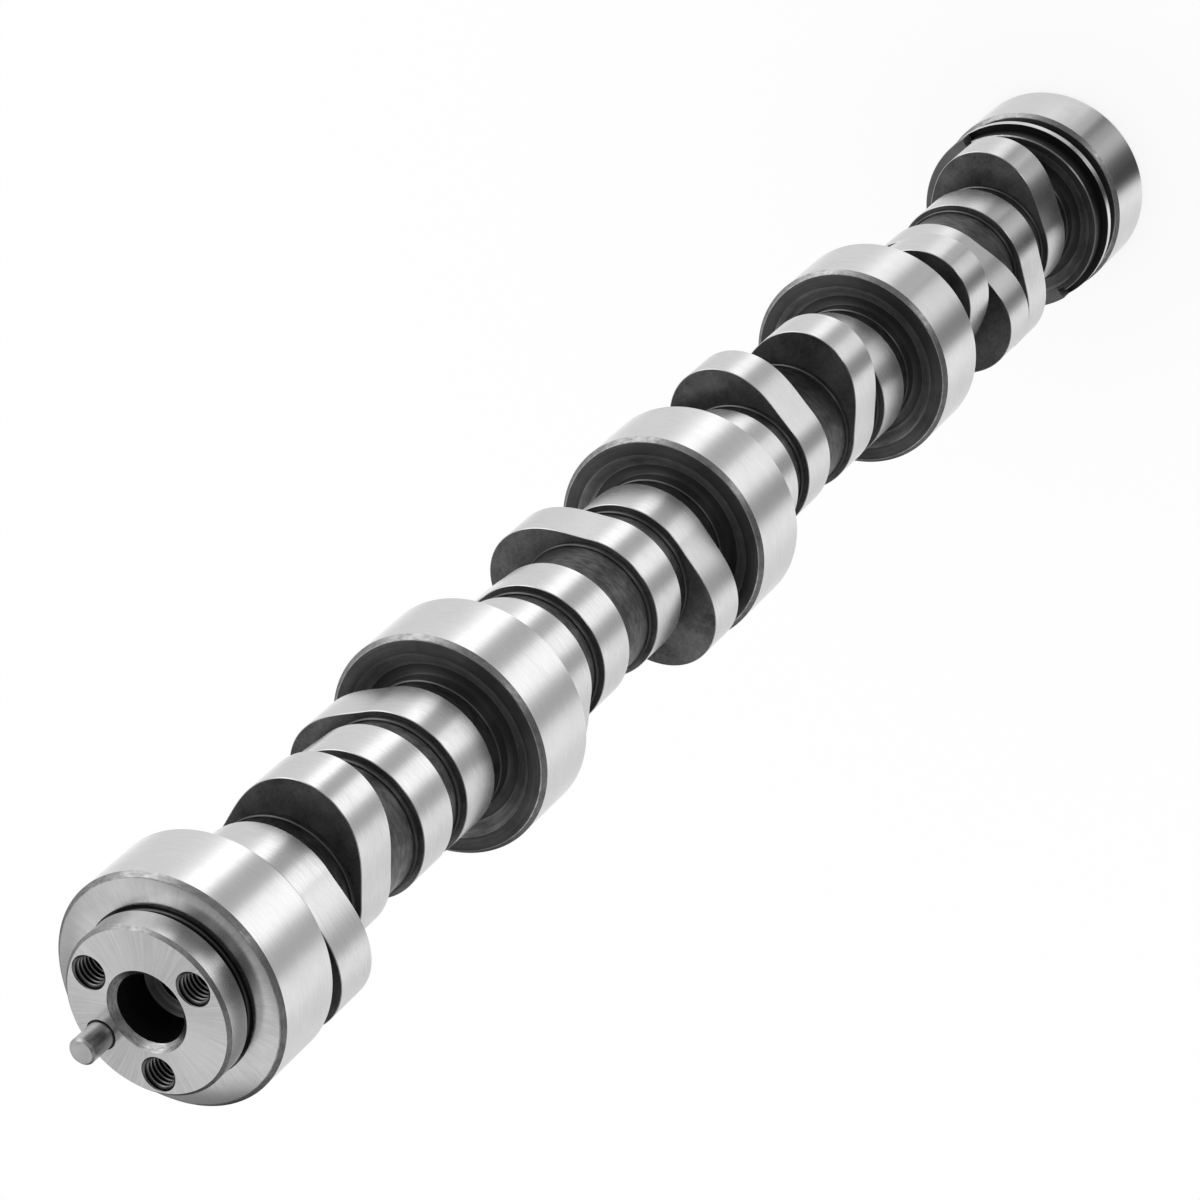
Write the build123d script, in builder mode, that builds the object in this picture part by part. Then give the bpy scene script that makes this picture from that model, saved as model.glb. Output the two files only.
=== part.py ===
from build123d import *
from math import cos, hypot, radians, sin, tan
import os

# Camshaft of an eight-cylinder vee engine, with sixteen lobes for roller lifters.
# Millimetres. The shaft stands on its rear face: the origin is the middle of that face, +Z runs
# along the axis to the nose, and +X points from the axis to the dowel pin.

# Bearing journals. Four lie on the bearing pitch, and the fifth ends the shaft at the rear.
bearing_pitch = 111.76
fourth_bearing_height = 132.0  # from the rear face to the middle of the fourth journal
journal_diameter = 55.0
journal_width = 20.9  # over its two chamfers
front_journal_width = 20.3
front_journal_shift = 0.5  # how far its middle lies ahead of the pitch
rear_journal_width = 19.7
journal_chamfer = 1.0

# The core between the journals and lobes. A journal's face is dished: inside its flat rim it
# slopes down to a floor around a short hub.
core_diameter = 33.2
hub_diameter = 34.4
hub_width = 1.5
dish_diameter = 46.2
dish_floor_diameter = 40.0
dish_depth = 1.6

# Lobes. Each gap between journals holds four, two each side of the gap's middle.
lobe_width = 12.5
inner_lobe_offset = 13.55  # from the gap's middle to the lobe's middle
outer_lobe_offset = 32.55
base_circle_diameter = 36.8
lobe_lift = 8.7
half_event = 75.3  # degrees from the lobe's nose to the end of its flank
roller_diameter = 17.8
flank_points = 9

# Timing, in degrees of the camshaft, which turns clockwise as seen from the nose
firing_order = (1, 8, 7, 2, 6, 5, 4, 3)
bank_angle = 90.0  # between the two rows of cylinders
lobe_separation = 112.5  # between the two lobes of one cylinder
first_intake_angle = 104.3  # from the dowel pin to the first cylinder's intake lobe

# Rear end: a half-moon timing ring and a full guard ring, ahead of the rear journal
groove_diameter = 48.0
groove_width = 4.6
guard_ring_diameter = 54.0
guard_ring_width = 2.0
timing_ring_width = 4.8
timing_ring_diameter = 50.4
half_moon_diameter = 53.8
half_moon_angle = 180.0  # centred on the dowel pin
ring_chamfer = 0.3

# Nose: a boss that carries the sprocket, with an undercut in the corner at its root
boss_diameter = 39.8
boss_length = 8.3
boss_chamfer = 0.8
undercut_width = 1.8  # along the boss, from the thrust face
undercut_depth = 1.0  # into the boss
undercut_sink = 0.3  # into the thrust face, and across it beyond the boss

# Holes along the axis
gun_bore_diameter = 11.0  # runs through the whole shaft
gun_bore_mouth = 2.0
nose_bore_diameter = 16.2
nose_bore_depth = 11.8
nose_bore_mouth = 1.5
drill_point = 118.0

# Three tapped holes and a dowel pin on one circle, the pin midway between two holes
fixing_circle_diameter = 29.3
tapped_hole_count = 3
tapped_hole_diameter = 6.65  # the bore of an M8 thread
tapped_hole_mouth = 8.2
tapped_hole_depth = 22.0
mouth_angle = 90.0
pin_diameter = 6.3
pin_length = 16.0
pin_reach = 7.4  # how far the pin stands out of the nose
pin_chamfer = 0.5
pin_neck_diameter = 5.9
pin_neck_width = 0.85
pin_neck_inset = 0.15  # from the nose face down to the neck
pin_hole_mouth = 7.1  # a counterbore as deep as the neck

# Heights above the rear face
bearing_heights = [fourth_bearing_height + k * bearing_pitch for k in range(3)]
front_journal_height = fourth_bearing_height + 3 * bearing_pitch + front_journal_shift
gap_heights = [fourth_bearing_height + (k + 0.5) * bearing_pitch for k in (2, 1, 0, -1)]
thrust_face_height = front_journal_height + front_journal_width / 2
nose_height = thrust_face_height + boss_length
guard_ring_height = rear_journal_width + groove_width
timing_ring_height = guard_ring_height + guard_ring_width

# Radii, and the tangent of half a drill point
base_radius = base_circle_diameter / 2
roller_radius = roller_diameter / 2
fixing_radius = fixing_circle_diameter / 2
half_point_tan = tan(radians(drill_point / 2))


def flank_point(turn, nose_angle):
    """Where a roller touches the lobe, at a turn past the nose."""
    share = 1 - (turn / half_event) ** 2
    path = base_radius + roller_radius + lobe_lift * share**2
    slope = -4 * lobe_lift * share * turn / half_event / radians(half_event)
    normal = hypot(path, slope)
    along, across = path - roller_radius * path / normal, roller_radius * slope / normal
    angle = radians(nose_angle + turn)
    return (along * cos(angle) - across * sin(angle), along * sin(angle) + across * cos(angle))


def lobe_places():
    """The height of each lobe's middle and the angle of its nose, from front to rear."""
    turn = 360 / len(firing_order)
    places = []
    for gap, middle in enumerate(gap_heights):
        odd, even = 2 * gap + 1, 2 * gap + 2
        odd_intake = first_intake_angle + firing_order.index(odd) * turn
        even_intake = first_intake_angle + firing_order.index(even) * turn + bank_angle
        places += [
            (middle + outer_lobe_offset, odd_intake),
            (middle + inner_lobe_offset, even_intake - lobe_separation),
            (middle - inner_lobe_offset, odd_intake - lobe_separation),
            (middle - outer_lobe_offset, even_intake),
        ]
    return places


def dished_section(diameter, height, edge):
    """Half section of a disc from its middle plane up to a dished face, with a chamfered edge."""
    radius, hub = diameter / 2, hub_diameter / 2
    hub_top, floor = height + hub_width, height - dish_depth
    with BuildSketch() as section:
        with BuildLine():
            Polyline(
                (0, 0),
                (0, hub_top),
                (hub, hub_top),
                (hub, floor),
                (dish_floor_diameter / 2, floor),
                (dish_diameter / 2, height),
                (radius - edge, height),
                (radius, height - edge),
                (radius, 0),
                close=True,
            )
        make_face()
    return section.sketch


def flat_section(diameter, height, edge):
    """Half section of a disc from its middle plane up to a flat face, with a chamfered edge."""
    radius = diameter / 2
    with BuildSketch() as section:
        with BuildLine():
            corners = ((radius - edge, height), (radius, height - edge))
            Polyline((0, 0), (0, height), *corners, (radius, 0), close=True)
        make_face()
    return section.sketch


with BuildPart() as camshaft:
    # The turned body: core, journals, rear rings and nose boss in one section
    with BuildSketch(Plane.XZ):
        with Locations((0, timing_ring_height)):
            Rectangle(core_diameter / 2, front_journal_height - timing_ring_height, align=Align.MIN)
        for height in bearing_heights:
            with Locations((0, height)):
                half = dished_section(journal_diameter, journal_width / 2, journal_chamfer)
                add(half)
                add(mirror(half, about=Plane.XZ, mode=Mode.PRIVATE))
        with Locations((0, front_journal_height)):
            half_width = front_journal_width / 2
            add(flat_section(journal_diameter, half_width, journal_chamfer))
            rear_half = dished_section(journal_diameter, half_width, journal_chamfer)
            add(mirror(rear_half, about=Plane.XZ, mode=Mode.PRIVATE))
        with Locations((0, thrust_face_height)):
            add(flat_section(boss_diameter, boss_length, boss_chamfer))
        with Locations((0, rear_journal_width / 2)):
            half = flat_section(journal_diameter, rear_journal_width / 2, journal_chamfer)
            add(half)
            add(mirror(half, about=Plane.XZ, mode=Mode.PRIVATE))
        Rectangle(groove_diameter / 2, guard_ring_height, align=Align.MIN)
        with Locations((0, guard_ring_height)):
            Rectangle(guard_ring_diameter / 2, guard_ring_width, align=Align.MIN)
        with Locations((0, timing_ring_height)):
            add(dished_section(timing_ring_diameter, timing_ring_width, ring_chamfer))
        with Locations((boss_diameter / 2 + undercut_sink, thrust_face_height - undercut_sink)):
            reach, width = undercut_depth + undercut_sink, undercut_width + undercut_sink
            Rectangle(reach, width, align=(Align.MAX, Align.MIN), mode=Mode.SUBTRACT)
    revolve(axis=Axis.Z)

    # The half-moon of the timing ring, outside the dish
    start = Vector(1, 0, 0).rotate(Axis.Z, -half_moon_angle / 2)
    half_moon_plane = Plane((0, 0, timing_ring_height), x_dir=start, z_dir=start.cross(Vector(0, 0, 1)))
    with BuildSketch(half_moon_plane):
        with BuildLine():
            inner, outer, top = dish_diameter / 2, half_moon_diameter / 2, timing_ring_width
            corners = ((outer, top - ring_chamfer), (outer - ring_chamfer, top))
            Polyline((inner, 0), (outer, 0), *corners, (inner, top), close=True)
        make_face()
    revolve(axis=Axis.Z, revolution_arc=half_moon_angle)

    # Lobes
    for height, nose_angle in lobe_places():
        with BuildSketch(Plane.XY.offset(height - lobe_width / 2)):
            with BuildLine():
                turns = [half_event * (2 * k / (flank_points - 1) - 1) for k in range(flank_points)]
                ends = [Vector(0, 1).rotate(Axis.Z, nose_angle + side * half_event) for side in (-1, 1)]
                Spline([flank_point(turn, nose_angle) for turn in turns], tangents=ends)
                CenterArc((0, 0), base_radius, nose_angle + half_event, 360 - 2 * half_event)
            make_face()
    extrude(amount=lobe_width)

    # Bores along the axis
    with BuildSketch(Plane.XZ):
        with BuildLine():
            gun_radius, bore_radius = gun_bore_diameter / 2, nose_bore_diameter / 2
            step_height = nose_height - nose_bore_depth
            Polyline(
                (0, 0),
                (gun_radius + gun_bore_mouth, 0),
                (gun_radius, gun_bore_mouth),
                (gun_radius, step_height - (bore_radius - gun_radius) / half_point_tan),
                (bore_radius, step_height),
                (bore_radius, nose_height - nose_bore_mouth),
                (bore_radius + nose_bore_mouth, nose_height),
                (0, nose_height),
                close=True,
            )
        make_face()
    revolve(axis=Axis.Z, mode=Mode.SUBTRACT)

    # Tapped holes with their drill points, and the hole for the dowel pin
    tapped_radius = tapped_hole_diameter / 2
    with Locations((0, 0, nose_height)):
        with PolarLocations(fixing_radius, tapped_hole_count, start_angle=180 / tapped_hole_count):
            CounterSinkHole(tapped_radius, tapped_hole_mouth / 2, tapped_hole_depth, mouth_angle)
    point_depth = tapped_radius / half_point_tan
    with Locations((0, 0, nose_height - tapped_hole_depth - point_depth / 2)):
        with PolarLocations(fixing_radius, tapped_hole_count, start_angle=180 / tapped_hole_count):
            Cone(0, tapped_radius, point_depth, mode=Mode.SUBTRACT)
    with Locations((fixing_radius, 0, nose_height)):
        neck_depth = pin_neck_inset + pin_neck_width
        CounterBoreHole(pin_diameter / 2, pin_hole_mouth / 2, neck_depth, pin_length - pin_reach)

with BuildPart() as dowel_pin:
    with BuildSketch(Plane.XY.offset(nose_height + pin_reach)):
        with Locations((fixing_radius, 0)):
            Circle(pin_diameter / 2)
    extrude(amount=-pin_length)
    chamfer(dowel_pin.edges().filter_by(GeomType.CIRCLE), pin_chamfer)
    with BuildSketch(Plane.XY.offset(nose_height - pin_neck_inset)):
        with Locations((fixing_radius, 0)):
            Circle(pin_diameter / 2)
            Circle(pin_neck_diameter / 2, mode=Mode.SUBTRACT)
    extrude(amount=-pin_neck_width, mode=Mode.SUBTRACT)

camshaft.part.label = "camshaft"
dowel_pin.part.label = "dowel_pin"

os.makedirs("parts", exist_ok=True)
export_step(camshaft.part, "parts/camshaft.step")
export_step(dowel_pin.part, "parts/dowel_pin.step")
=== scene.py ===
"""Looks of a ground steel camshaft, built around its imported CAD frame.

The shaft stands on its rear face, its axis is Z, and the dowel pin lies towards +X.
Sizes in the classes are millimetres and degrees; meshes are made in metres.
"""

import logging
import math
from dataclasses import dataclass, field
from enum import Enum, IntEnum
from functools import reduce
from typing import Any, Iterable

import bpy
from mathutils import Euler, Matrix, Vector

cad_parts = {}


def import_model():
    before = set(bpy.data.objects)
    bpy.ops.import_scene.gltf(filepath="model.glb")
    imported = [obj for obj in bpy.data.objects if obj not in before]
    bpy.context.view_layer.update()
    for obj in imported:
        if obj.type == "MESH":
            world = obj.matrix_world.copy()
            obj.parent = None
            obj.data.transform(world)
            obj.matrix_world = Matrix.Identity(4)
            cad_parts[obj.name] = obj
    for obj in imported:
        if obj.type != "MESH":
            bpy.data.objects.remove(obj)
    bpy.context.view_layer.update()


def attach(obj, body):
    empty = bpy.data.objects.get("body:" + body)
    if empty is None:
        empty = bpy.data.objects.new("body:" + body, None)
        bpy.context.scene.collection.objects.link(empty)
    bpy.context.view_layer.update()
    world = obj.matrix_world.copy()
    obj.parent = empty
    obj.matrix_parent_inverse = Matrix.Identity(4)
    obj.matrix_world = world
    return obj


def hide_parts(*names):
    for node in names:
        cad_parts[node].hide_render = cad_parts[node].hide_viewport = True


LOG = logging.getLogger("camshaft")
MM = 0.001

# Meshes
MERGE_DISTANCE = 2e-6  # metres
SHARP_ANGLE = 25.0  # between two faces, past which their edge isn't shaded smooth
CORNER_SHARE = 0.3  # how far in a rounded corner's middle point lies, as a share of the rounding
SURFACE_TOLERANCE = 0.1  # tells one stored surface number from the next
EXTRA_COLUMNS = 5  # one at the seam, and one at each end of the half-moon and of its notches
HALF_MOON_SHARE = 0.4  # how much of a face must stand out before it is the half-moon's own
ROWS_PER_TURN = 4  # of a thread: both ends of its crest, then both ends of its root

# Finishes
FACE_RADIUS = 15.0  # where the marks on a flat face have their stated size
MARK_DETAIL = 3.0
CLOUD_DETAIL = 4.0
NOISE_ROUGHNESS = 0.6
NOISE_LOW, NOISE_HIGH = 0.3, 0.7  # the range that is widened to the whole one
CREST_HIGHLIGHT_SHARPNESS = 3.0  # how closely a thread's painted highlight keeps to its crest

Colour = tuple[float, float, float]
Place = tuple[float, float, float]
Curve = tuple[tuple[float, float], ...]


class Surface(IntEnum):
    """The surfaces of the shaft that differ in finish."""

    RUNNING = 0
    LOBE = 1
    CHAMFER = 2
    DISH = 3
    LOBE_SIDE = 4
    HUB = 5
    CORE = 6
    RING = 7
    NOSE_FACE = 8
    THRUST_FACE = 9
    BOSS = 10
    UNDERCUT = 11
    BORE = 12
    BORE_MOUTH = 13
    THREAD = 14
    REAR_FACE = 15
    HALF_MOON = 16
    SLOPE = 17


class Marks(Enum):
    """How the tool's marks lie on a surface."""

    AROUND = "around the axis"
    CONCENTRIC = "rings on a flat face"
    FAN = "glints across the rings of a flat face"
    CLOUDY = "no direction"


# A radius, a height, and the finish from there to the next corner of a profile
Corner = tuple[float, float, Surface]


class Tree:
    """Adds nodes to one node tree and links them."""

    def __init__(self, tree: bpy.types.NodeTree) -> None:
        """Starts on a tree.

        Args:
            tree: the node tree that the nodes go into.
        """
        self.tree = tree

    def put(self, socket: bpy.types.NodeSocket, value: Any) -> None:
        """Links a socket to another one, or sets its value.

        Args:
            socket: the input socket.
            value: an output socket, or a plain value.
        """
        if isinstance(value, bpy.types.NodeSocket):
            self.tree.links.new(value, socket)
        else:
            socket.default_value = value

    def node(self, kind: str, inputs: dict[Any, Any] | None = None, **settings: Any) -> bpy.types.Node:
        """Adds a node.

        Args:
            kind: Blender's name for the node.
            inputs: values or sockets, by input name or number.
            settings: the node's own properties.

        Returns:
            The node.
        """
        made = self.tree.nodes.new(kind)
        for name, value in settings.items():
            setattr(made, name, value)
        for name, value in (inputs or {}).items():
            self.put(made.inputs[name], value)
        return made

    def math(self, operation: str, *values: Any) -> bpy.types.NodeSocket:
        """Adds a Math node on numbers or sockets and returns its output."""
        made = self.node("ShaderNodeMath", dict(enumerate(values)), operation=operation)
        return made.outputs[0]

    def add(self, *values: Any) -> bpy.types.NodeSocket:
        """Adds up two or more values."""
        return reduce(lambda total, value: self.math("ADD", total, value), values)

    def times(self, *values: Any) -> bpy.types.NodeSocket:
        """Multiplies two or more values."""
        return reduce(lambda total, value: self.math("MULTIPLY", total, value), values)

    def minus(self, first: Any, second: Any) -> bpy.types.NodeSocket:
        """Subtracts the second value from the first."""
        return self.math("SUBTRACT", first, second)

    def over(self, first: Any, second: Any) -> bpy.types.NodeSocket:
        """Divides the first value by the second."""
        return self.math("DIVIDE", first, second)

    def blend(self, share: Any, low: Any, high: Any) -> bpy.types.NodeSocket:
        """Goes from low to high as the share goes from 0 to 1."""
        return self.add(low, self.times(share, self.minus(high, low)))

    def xyz(self, x: Any = 0.0, y: Any = 0.0, z: Any = 0.0) -> bpy.types.NodeSocket:
        """Makes a vector of three numbers."""
        return self.node("ShaderNodeCombineXYZ", {0: x, 1: y, 2: z}).outputs[0]

    def vector(self, operation: str, *values: Any) -> bpy.types.NodeSocket:
        """Adds a Vector Math node and returns its vector."""
        made = self.node("ShaderNodeVectorMath", dict(enumerate(values)), operation=operation)
        return made.outputs["Vector"]

    def scaled(self, vector: Any, factor: float) -> bpy.types.NodeSocket:
        """Multiplies a vector by a number."""
        made = self.node("ShaderNodeVectorMath", {0: vector, "Scale": factor}, operation="SCALE")
        return made.outputs["Vector"]

    def direction(self, x: Any, y: Any) -> bpy.types.NodeSocket:
        """The direction of a point round the Z axis, as a part of a turn."""
        part = self.over(self.math("ARCTAN2", y, x), math.tau)
        return self.math("FRACT", self.add(part, 1.0))

    def levels(self, turn: Any, curve: Curve) -> bpy.types.NodeSocket:
        """Reads a smooth curve of levels round the Z axis.

        Args:
            turn: the direction, as a part of a turn.
            curve: degrees and levels, with the degrees rising.

        Returns:
            The level in that direction.
        """
        highest = max(level for _, level in curve)
        first, *inner, last = [(angle / 360, level / highest) for angle, level in curve]
        made = self.node("ShaderNodeFloatCurve", {"Value": turn})
        points = made.mapping.curves[0].points
        points[0].location, points[-1].location = first, last
        for place in inner:
            points.new(*place)
        made.mapping.update()
        return self.times(made.outputs[0], highest)


class GeometryTree(Tree):
    """A Geometry Nodes tree with named inputs."""

    def __init__(self, name: str) -> None:
        """Makes the tree with its group nodes.

        Args:
            name: the tree's name.
        """
        super().__init__(bpy.data.node_groups.new(name, "GeometryNodeTree"))
        self.identifiers: dict[str, str] = {}
        self.interface("Geometry", "NodeSocketGeometry")
        self.tree.interface.new_socket(name="Geometry", in_out="OUTPUT", socket_type="NodeSocketGeometry")
        self.source = self.node("NodeGroupInput")
        self.result = self.node("NodeGroupOutput")

    def interface(self, name: str, kind: str) -> None:
        """Adds a named input of a kind."""
        made = self.tree.interface.new_socket(name=name, in_out="INPUT", socket_type=kind)
        self.identifiers[name] = made.identifier

    def size(self, name: str) -> bpy.types.NodeSocket:
        """Adds a number input and returns its socket inside the tree."""
        self.interface(name, "NodeSocketFloat")
        return self.source.outputs[name]

    def count(self, name: str) -> bpy.types.NodeSocket:
        """Adds a whole-number input and returns its socket inside the tree."""
        self.interface(name, "NodeSocketInt")
        return self.source.outputs[name]

    def geometry(
        self, kind: str, inputs: dict[Any, Any] | None = None, **settings: Any
    ) -> bpy.types.NodeSocket:
        """Adds a node and returns its first output."""
        return self.node(kind, inputs, **settings).outputs[0]

    def named(self, name: str) -> bpy.types.NodeSocket:
        """Reads a number that is stored on the mesh under a name."""
        made = self.node("GeometryNodeInputNamedAttribute", {"Name": name}, data_type="FLOAT")
        return made.outputs["Attribute"]

    def store(self, mesh: Any, name: str, value: Any, domain: str = "FACE") -> bpy.types.NodeSocket:
        """Stores a number on the mesh under a name."""
        inputs = {"Geometry": mesh, "Name": name, "Value": value}
        return self.geometry("GeometryNodeStoreNamedAttribute", inputs, data_type="FLOAT", domain=domain)

    def grid(self, rows: Any, columns: Any) -> tuple[bpy.types.NodeSocket, ...]:
        """Makes a grid to be shaped.

        Args:
            rows: the number of rows of points.
            columns: the number of points in a row.

        Returns:
            The grid, and each point's row and column, counted from 0.
        """
        mesh = self.geometry("GeometryNodeMeshGrid", {"Vertices X": rows, "Vertices Y": columns})
        index = self.geometry("GeometryNodeInputIndex")
        row = self.math("FLOOR", self.over(index, columns))
        return mesh, row, self.minus(index, self.times(row, columns))

    def bend(self, mesh: Any, place: Any) -> bpy.types.NodeSocket:
        """Moves each point to its place, with the faces turned outwards."""
        moved = self.geometry("GeometryNodeSetPosition", {"Geometry": mesh, "Position": place})
        return self.geometry("GeometryNodeFlipFaces", {"Mesh": moved})

    def circle(self, points: Any, radius: Any) -> bpy.types.NodeSocket:
        """Makes a round curve about the origin."""
        return self.geometry("GeometryNodeCurvePrimitiveCircle", {"Resolution": points, "Radius": radius})

    def moved(self, geometry: Any, way: Any) -> bpy.types.NodeSocket:
        """Moves a geometry along a vector."""
        return self.geometry("GeometryNodeTransform", {"Geometry": geometry, "Translation": way})

    def join(self, parts: Iterable[Any]) -> bpy.types.NodeSocket:
        """Joins several geometries.

        Args:
            parts: the sockets that carry them.

        Returns:
            All of them together.
        """
        made = self.node("GeometryNodeJoinGeometry")
        for part in parts:
            self.tree.links.new(part, made.inputs[0])
        return made.outputs[0]

    def finish(self, mesh: Any, surfaces: dict[int, bpy.types.Material]) -> None:
        """Closes the tree: joins coincident points, realizes instances and gives each surface its material.

        Args:
            mesh: the geometry so far, with each face's surface stored on it.
            surfaces: the material of each surface.
        """
        merged = self.geometry("GeometryNodeMergeByDistance", {"Geometry": mesh, "Distance": MERGE_DISTANCE})
        made = self.geometry("GeometryNodeRealizeInstances", {"Geometry": merged})
        for surface, material in surfaces.items():
            is_this = self.node("FunctionNodeCompare", data_type="FLOAT", operation="EQUAL")
            self.put(is_this.inputs["A"], self.named("surface"))
            self.put(is_this.inputs["B"], float(surface))
            self.put(is_this.inputs["Epsilon"], SURFACE_TOLERANCE)
            inputs = {"Geometry": made, "Selection": is_this.outputs[0], "Material": material}
            made = self.geometry("GeometryNodeSetMaterial", inputs)
        self.put(self.result.inputs["Geometry"], made)


def apply_tree(
    name: str, start: bpy.types.Mesh, tree: GeometryTree, values: dict[str, float]
) -> bpy.types.Object:
    """Runs a tree on a mesh and keeps the result as a plain mesh.

    The empty material slot that the tree leaves and the numbers that only the tree needed go.

    Args:
        name: the piece's name.
        start: the mesh that the tree begins with.
        tree: the tree.
        values: the tree's inputs by name.

    Returns:
        The piece, at the origin, with no modifier.
    """
    piece = bpy.data.objects.new(name, start)
    modifier = piece.modifiers.new("shape", "NODES")
    modifier.node_group = tree.tree
    for label, value in values.items():
        modifier[tree.identifiers[label]] = value
    bpy.context.scene.collection.objects.link(piece)
    bpy.context.view_layer.update()
    made = bpy.data.meshes.new_from_object(piece.evaluated_get(bpy.context.evaluated_depsgraph_get()))
    piece.modifiers.remove(modifier)
    piece.data = made
    made.name = name
    if made.materials[0] is None:
        made.materials.pop(index=0)
    for label in ("ring", "half_moon", "surface"):
        made.attributes.remove(made.attributes[label])
    made.shade_smooth()
    made.set_sharp_from_angle(angle=math.radians(SHARP_ANGLE))
    LOG.info("%s: %d points, %d faces", name, len(made.vertices), len(made.polygons))
    return piece


@dataclass(frozen=True)
class MetalFinish:
    """A metal surface with the marks that its machining left.

    The marks are noise on Object coordinates, drawn out along the tool's way. Wider clouds lie
    over them. Where both are high, the metal is light and smooth, and elsewhere darker and rougher.

    Attributes:
        name: the material's name.
        light: the lightest colour.
        dark: the darkest colour.
        smooth: the roughness of the lightest places.
        rough: the roughness of the darkest places.
        marks: how the tool's marks lie.
        mark_pitch: how wide a mark is.
        mark_length: how long a mark is.
        mark_depth: how deep the marks look, where they catch the light.
        cloud_size: how wide a cloud is.
        cloud_share: how much the clouds count, against the marks.
        metallic: how metallic the surface is, up to 1.
        anisotropy: how far the marks draw out the gloss, up to 1.
        crest: the colour painted on a thread's crest as its highlight, on a thread.
        grazing: the tint of what the surface reflects at a flat angle, where it is a dull one.
    """

    name: str
    light: Colour
    dark: Colour
    smooth: float
    rough: float
    marks: Marks = Marks.AROUND
    mark_pitch: float = 0.25
    mark_length: float = 14.0
    mark_depth: float = 0.0
    cloud_size: float = 9.0
    cloud_share: float = 0.35
    metallic: float = 1.0
    anisotropy: float = 0.0
    crest: Colour | None = None
    grazing: Colour | None = None

    def build(self) -> bpy.types.Material:
        """Makes the material.

        Returns:
            The material, with its shader nodes.
        """
        material = bpy.data.materials.new(self.name)
        material.use_nodes = True
        material.node_tree.nodes.clear()
        tree = Tree(material.node_tree)
        place = tree.node("ShaderNodeTexCoord").outputs["Object"]
        marks = self.noise(tree, self.stretched(tree, place), MARK_DETAIL)
        clouds = self.noise(tree, tree.scaled(place, 1 / (self.cloud_size * MM)), CLOUD_DETAIL)
        share = tree.blend(self.cloud_share, marks, clouds)
        shader = tree.node("ShaderNodeBsdfPrincipled", {"Metallic": self.metallic})
        tree.put(shader.inputs["Base Color"], self.colour(tree, share))
        tree.put(shader.inputs["Roughness"], tree.blend(share, self.rough, self.smooth))
        if self.grazing:
            tree.put(shader.inputs["Specular Tint"], (*self.grazing, 1.0))
        if self.mark_depth:
            bump = {"Height": marks, "Distance": self.mark_depth * MM, "Strength": 1.0}
            tree.put(shader.inputs["Normal"], tree.node("ShaderNodeBump", bump).outputs[0])
        if self.anisotropy:
            tree.put(shader.inputs["Anisotropic"], self.anisotropy)
            tree.put(shader.inputs["Tangent"], self.across(tree, place))
        output = tree.node("ShaderNodeOutputMaterial")
        tree.put(output.inputs["Surface"], shader.outputs[0])
        return material

    def colour(self, tree: Tree, share: bpy.types.NodeSocket) -> bpy.types.NodeSocket:
        """The metal's colour, with a painted highlight on a thread's crest.

        Args:
            tree: the material's tree.
            share: how light the place is, from 0 to 1.

        Returns:
            The colour.
        """
        metal = self.mixed(tree, share, self.dark, self.light)
        if self.crest is None:
            return metal
        # On a thread, the crest is painted lighter as a highlight.
        crest = tree.node("ShaderNodeAttribute", attribute_name="crest").outputs["Fac"]
        return self.mixed(tree, tree.math("POWER", crest, CREST_HIGHLIGHT_SHARPNESS), metal, self.crest)

    def across(self, tree: Tree, place: bpy.types.NodeSocket) -> bpy.types.NodeSocket:
        """The way along which the marks draw out the gloss.

        Args:
            tree: the material's tree.
            place: the point in Object coordinates.

        Returns:
            The axis on a turned surface, and the way out from it on a flat face.
        """
        if self.marks is Marks.AROUND:
            return tree.xyz(z=1.0)
        return tree.vector("NORMALIZE", tree.vector("MULTIPLY", place, (1.0, 1.0, 0.0)))

    def stretched(self, tree: Tree, place: bpy.types.NodeSocket) -> bpy.types.NodeSocket:
        """Coordinates that are short across the tool's marks and long along them.

        Args:
            tree: the material's tree.
            place: the point in Object coordinates.

        Returns:
            The coordinates, one unit to a mark.
        """
        fine, long = 1 / (self.mark_pitch * MM), 1 / (self.mark_length * MM)
        if self.marks is Marks.AROUND:
            return tree.vector("MULTIPLY", place, (long, long, fine))
        if self.marks is Marks.CLOUDY:
            return tree.scaled(place, fine)
        outward, round_axis = (long, fine) if self.marks is Marks.FAN else (fine, long)
        flat = tree.vector("MULTIPLY", place, (1.0, 1.0, 0.0))
        radius = tree.node("ShaderNodeVectorMath", {0: flat}, operation="LENGTH").outputs["Value"]
        around = tree.scaled(tree.vector("NORMALIZE", flat), FACE_RADIUS * MM * round_axis)
        return tree.vector("ADD", around, tree.xyz(z=tree.times(radius, outward)))

    @staticmethod
    def noise(tree: Tree, place: bpy.types.NodeSocket, detail: float) -> bpy.types.NodeSocket:
        """Adds noise with its spread widened to the whole range from 0 to 1.

        Args:
            tree: the material's tree.
            place: the point, one unit to a grain of the noise.
            detail: how many finer layers the noise has.

        Returns:
            The noise.
        """
        inputs = {"Vector": place, "Scale": 1.0, "Detail": detail, "Roughness": NOISE_ROUGHNESS}
        value = tree.node("ShaderNodeTexNoise", inputs).outputs["Fac"]
        spread = {"Value": value, "From Min": NOISE_LOW, "From Max": NOISE_HIGH}
        return tree.node("ShaderNodeMapRange", spread).outputs["Result"]

    @staticmethod
    def mixed(tree: Tree, share: Any, low: Any, high: Any) -> bpy.types.NodeSocket:
        """Mixes two colours.

        Args:
            tree: the material's tree.
            share: how much of the second colour there is.
            low: the first colour, or a socket.
            high: the second colour, or a socket.

        Returns:
            The mixed colour.
        """
        made = tree.node("ShaderNodeMix", data_type="RGBA")
        tree.put(made.inputs["Factor"], share)
        for name, value in (("A", low), ("B", high)):
            socket = next(s for s in made.inputs if s.name == name and s.type == "RGBA")
            tree.put(socket, (*value, 1.0) if isinstance(value, tuple) else value)
        return next(s for s in made.outputs if s.type == "RGBA")


def grey(level: float) -> Colour:
    """A grey of a level."""
    return (level, level, level)


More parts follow.
